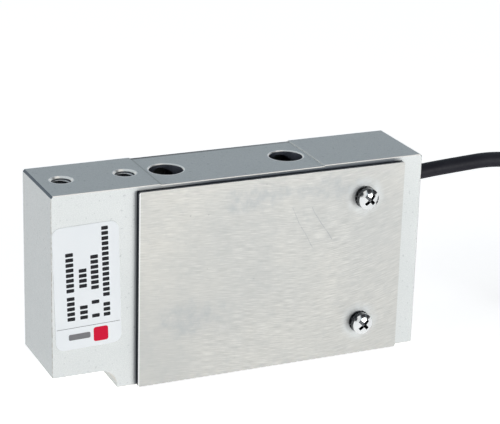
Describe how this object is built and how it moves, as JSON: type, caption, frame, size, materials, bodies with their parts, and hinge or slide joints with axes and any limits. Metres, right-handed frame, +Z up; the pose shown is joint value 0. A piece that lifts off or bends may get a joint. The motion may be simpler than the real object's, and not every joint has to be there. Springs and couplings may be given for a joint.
{
  "type": "single point load cell",
  "caption": "Upright block load cell: parallel guide beams and a sensing beam milled in one aluminium block, screwed-on side covers, threaded load end, fixed foot and a tied signal cable.",
  "frame": {"origin": "middle of the block in plan, on the plane that its foot stands on", "axes": "+X along the block to the fixed end where the cable leaves, +Y to the rear cover, +Z up to the load face"},
  "size_m": [0.2893, 0.0458, 0.064],
  "materials": {
    "body_aluminium": "fine matt, clear anodised",
    "cover_steel": "brushed, lightly scratched",
    "pad_steel": "plain",
    "screw_plating": "bright plated",
    "washer_steel": "plated",
    "gauge_film": "translucent amber film",
    "lead_insulation": "enamelled",
    "board_laminate": "solder mask",
    "resistor_body": "glazed",
    "sleeve_rubber": "matt",
    "ferrule_brass": "turned",
    "set_screw_steel": "blackened",
    "cable_jacket": "satin",
    "core_red": "smooth",
    "core_green": "smooth",
    "core_white": "smooth",
    "core_blue": "smooth",
    "label_film": "satin printed film",
    "tie_strap": "matt",
    "shrink_sleeve": "satin"
  },
  "bodies": {
    "root": {"spring_body": "body_aluminium", "front_cover": "cover_steel", "rear_cover": "cover_steel", "front_cover_pads": "pad_steel", "rear_cover_pads": "pad_steel", "front_cover_screws": "screw_plating", "rear_cover_screws": "screw_plating", "front_lock_washers": "washer_steel", "rear_lock_washers": "washer_steel", "front_plain_washers": "washer_steel", "rear_plain_washers": "washer_steel", "gauge_top_live": "gauge_film", "gauge_top_fixed": "gauge_film", "gauge_bottom_live": "gauge_film", "gauge_bottom_fixed": "gauge_film", "gauge_leads_top": "lead_insulation", "gauge_leads_bottom": "lead_insulation", "bridge_board": "board_laminate", "board_screws": "screw_plating", "trim_resistors": "resistor_body", "cable_sleeve": "sleeve_rubber", "cable_ferrule": "ferrule_brass", "cable_set_screw": "set_screw_steel", "cable_inner_end": "cable_jacket", "inner_core_red": "core_red", "inner_core_green": "core_green", "inner_core_white": "core_white", "inner_core_blue": "core_blue", "rating_label": "label_film", "signal_cable": "cable_jacket", "cable_hank": "cable_jacket", "hank_tie": "tie_strap", "cable_end_sleeve": "shrink_sleeve", "end_core_red": "core_red", "end_core_green": "core_green", "end_core_white": "core_white", "end_core_blue": "core_blue"}
  },
  "joints": []
}
